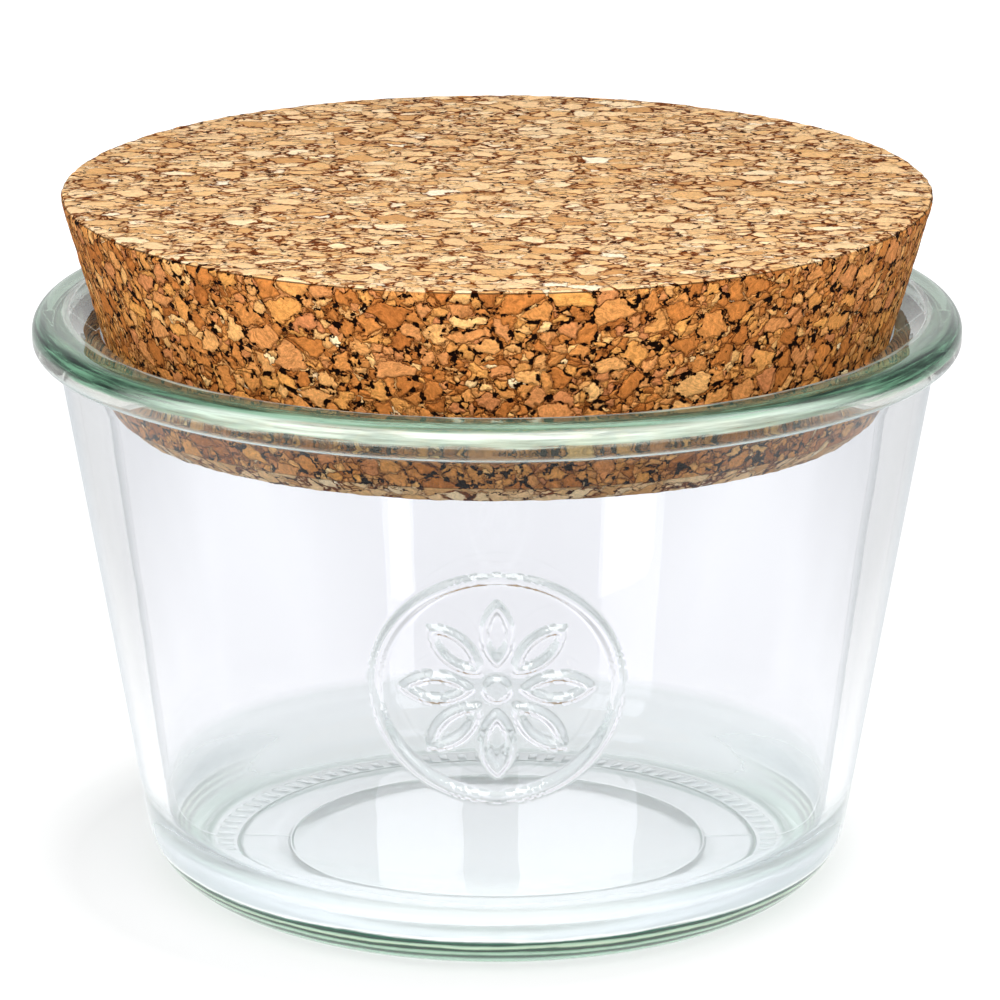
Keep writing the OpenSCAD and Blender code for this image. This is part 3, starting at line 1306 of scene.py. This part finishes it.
@dataclass
class Studio:
    """Floor, surroundings, lamps and camera."""

    floor_gap_mm: float = 0.05
    lamps: tuple[Softbox, ...] = (
        Softbox(Side.OVERHEAD, 0.43, 0.30, 0.25, 1.40),
        Softbox(Side.LEFT, 0.9, 0.20, 0.8, 3.2, mirrored=False),
        Softbox(Side.RIGHT, 0.9, 0.20, 0.8, 2.4, mirrored=False),
        Softbox(Side.FRONT_LEFT, 0.9, 0.34, 0.85, 2.2),
        Softbox(Side.FRONT_RIGHT, 0.9, 0.15, 0.85, 1.2),
        Softbox(Side.FRONT, 0.9, 0.6, 0.4, 3.0, mirrored=False),
        Softbox(Side.BACK_LEFT, 1.0, 0.040, 0.24, 0.018),
        Softbox(Side.BACK_RIGHT, 1.0, 0.056, 0.24, 0.025),
    )

    def floor(self) -> bpy.types.Object:
        """Lays the white floor.

        Returns:
            The floor's object.
        """
        bpy.ops.object.select_all(action="DESELECT")
        bpy.ops.mesh.primitive_plane_add(size=8, location=(0, 0, -self.floor_gap_mm * MM))
        obj = bpy.context.object
        obj.name = "floor"
        material, tree = new_material("white studio floor")
        rays = add_node(tree, "ShaderNodeLightPath").outputs
        place = add_node(tree, "ShaderNodeTexCoord").outputs["Object"]
        parts = add_node(tree, "ShaderNodeSeparateXYZ", {"Vector": place}).outputs
        off = add_node(tree, "ShaderNodeVectorMath", {0: place, 1: (0.007, 0.0, 0.0)}, operation="ADD")
        reach = add_node(
            tree, "ShaderNodeVectorMath", {0: off.outputs[0]}, operation="LENGTH"
        ).outputs["Value"]
        # near the object the paper keeps its shadow, further off it is plain white
        open_glow = remap(tree, reach, (0.044, 0.068), (0.60, 1.0))
        # seen through or in the glass, the floor glows less than seen straight, and less still near the jar and off
        # to the sides: painted shade that greys the glass and darkens its edges
        glass_glow = remap(tree, reach, (0.036, 0.056), (0.73, 0.86))
        side_shade_through_glass = remap(tree, computed(tree, "ABSOLUTE", parts["X"]), (0.060, 0.125), (1.0, 0.66))
        glass_glow = computed(tree, "MULTIPLY", glass_glow, side_shade_through_glass)
        paper = add_node(tree, "ShaderNodeBsdfDiffuse", {"Color": linear("#F2F2F2")})
        faint = add_node(tree, "ShaderNodeBsdfDiffuse", {"Color": linear("#8E8E8E")})
        glow = add_node(
            tree,
            "ShaderNodeEmission",
            {
                "Color": (1, 1, 1, 1),
                "Strength": blended(tree, rays["Is Camera Ray"], glass_glow, open_glow),
            },
        )
        seen = add_node(tree, "ShaderNodeAddShader", {0: faint.outputs[0], 1: glow.outputs[0]})
        # a black card on the camera's side keeps the reflections on the glass dark, and shows by half through glass
        card = add_node(tree, "ShaderNodeEmission", {"Color": linear("#2A2C2E"), "Strength": 1.0})
        mirrored = computed(tree, "MULTIPLY_ADD", rays["Is Transmission Ray"], -0.5, rays["Is Glossy Ray"])
        front = computed(
            tree,
            "MULTIPLY",
            computed(tree, "MAXIMUM", mirrored, 0.0),
            remap(tree, parts["Y"], (-0.115, -0.085), (1.0, 0.0)),
        )
        seen = add_node(tree, "ShaderNodeMixShader", {0: front, 1: seen.outputs[0], 2: card.outputs[0]})
        direct = computed(tree, "MAXIMUM", rays["Is Camera Ray"], rays["Is Transmission Ray"])
        direct = computed(tree, "MAXIMUM", direct, rays["Is Glossy Ray"])
        total = add_node(tree, "ShaderNodeMixShader", {0: direct, 1: paper.outputs[0], 2: seen.outputs[0]})
        add_node(tree, "ShaderNodeOutputMaterial", {"Surface": total.outputs[0]})
        obj.data.materials.append(material)
        return obj

    def surroundings(self) -> None:
        """Makes the world: white behind the object, dark above and on the camera's side, white to the camera."""
        world = bpy.data.worlds.new("studio")
        bpy.context.scene.world = world
        world.use_nodes = True
        tree = world.node_tree
        tree.nodes.clear()
        way = add_node(tree, "ShaderNodeTexCoord").outputs["Generated"]
        parts = add_node(tree, "ShaderNodeSeparateXYZ", {"Vector": way}).outputs
        backdrop = add_node(tree, "ShaderNodeValToRGB", {"Fac": parts["Z"]})
        fill_ramp(backdrop, [(0.0, "#FFFFFF"), (0.42, "#F6F6F8"), (0.62, "#A0A3A6"), (1.0, "#808386")])
        room = add_node(tree, "ShaderNodeValToRGB", {"Fac": parts["Z"]})
        fill_ramp(room, [(0.0, "#5C5F62"), (0.5, "#5C5F62"), (1.0, "#808386")])
        behind = remap(tree, parts["Y"], (-0.25, 0.2), (0.0, 1.0))
        tone = mixed(tree, behind, room.outputs["Color"], backdrop.outputs["Color"])
        beside = remap(tree, computed(tree, "ABSOLUTE", parts["X"]), (0.30, 0.65), (0.0, 1.0))
        tone = mixed(tree, beside, tone, linear("#9EA2A6"))
        rays = add_node(tree, "ShaderNodeLightPath").outputs
        colour = mixed(tree, rays["Is Camera Ray"], tone, (1, 1, 1, 1))
        air = add_node(tree, "ShaderNodeBackground", {"Color": colour, "Strength": 1.0})
        add_node(tree, "ShaderNodeOutputWorld", {"Surface": air.outputs[0]})

    def camera(self) -> None:
        """Sets the camera at the photograph's place: 0.6 m in front, looking down 16.45 degrees."""
        data = bpy.data.cameras.new("camera")
        data.sensor_width = 36
        data.lens = 189.75
        data.shift_x = 0.003
        data.clip_start = 0.01
        obj = bpy.data.objects.new("camera", data)
        obj.location = (0, -0.6, 0.22204)
        obj.rotation_euler = (math.radians(90 - 16.45), 0, 0)
        bpy.context.collection.objects.link(obj)
        bpy.context.scene.camera = obj

    def make(self) -> None:
        """Sets up everything round the object."""
        self.floor()
        self.surroundings()
        for lamp in self.lamps:
            lamp.make()
        self.camera()
        bpy.context.scene.view_settings.view_transform = "Standard"


def main() -> None:
    """Builds the jar and the lid, then the studio."""
    logging.basicConfig(level=logging.INFO, format="%(name)s: %(message)s")
    for piece in (GlassJar().dress(), CorkLid().dress()):
        log.info("%s: %d faces", piece.name, len(piece.data.polygons))
    Studio().make()


if __name__ == "__main__":
    main()
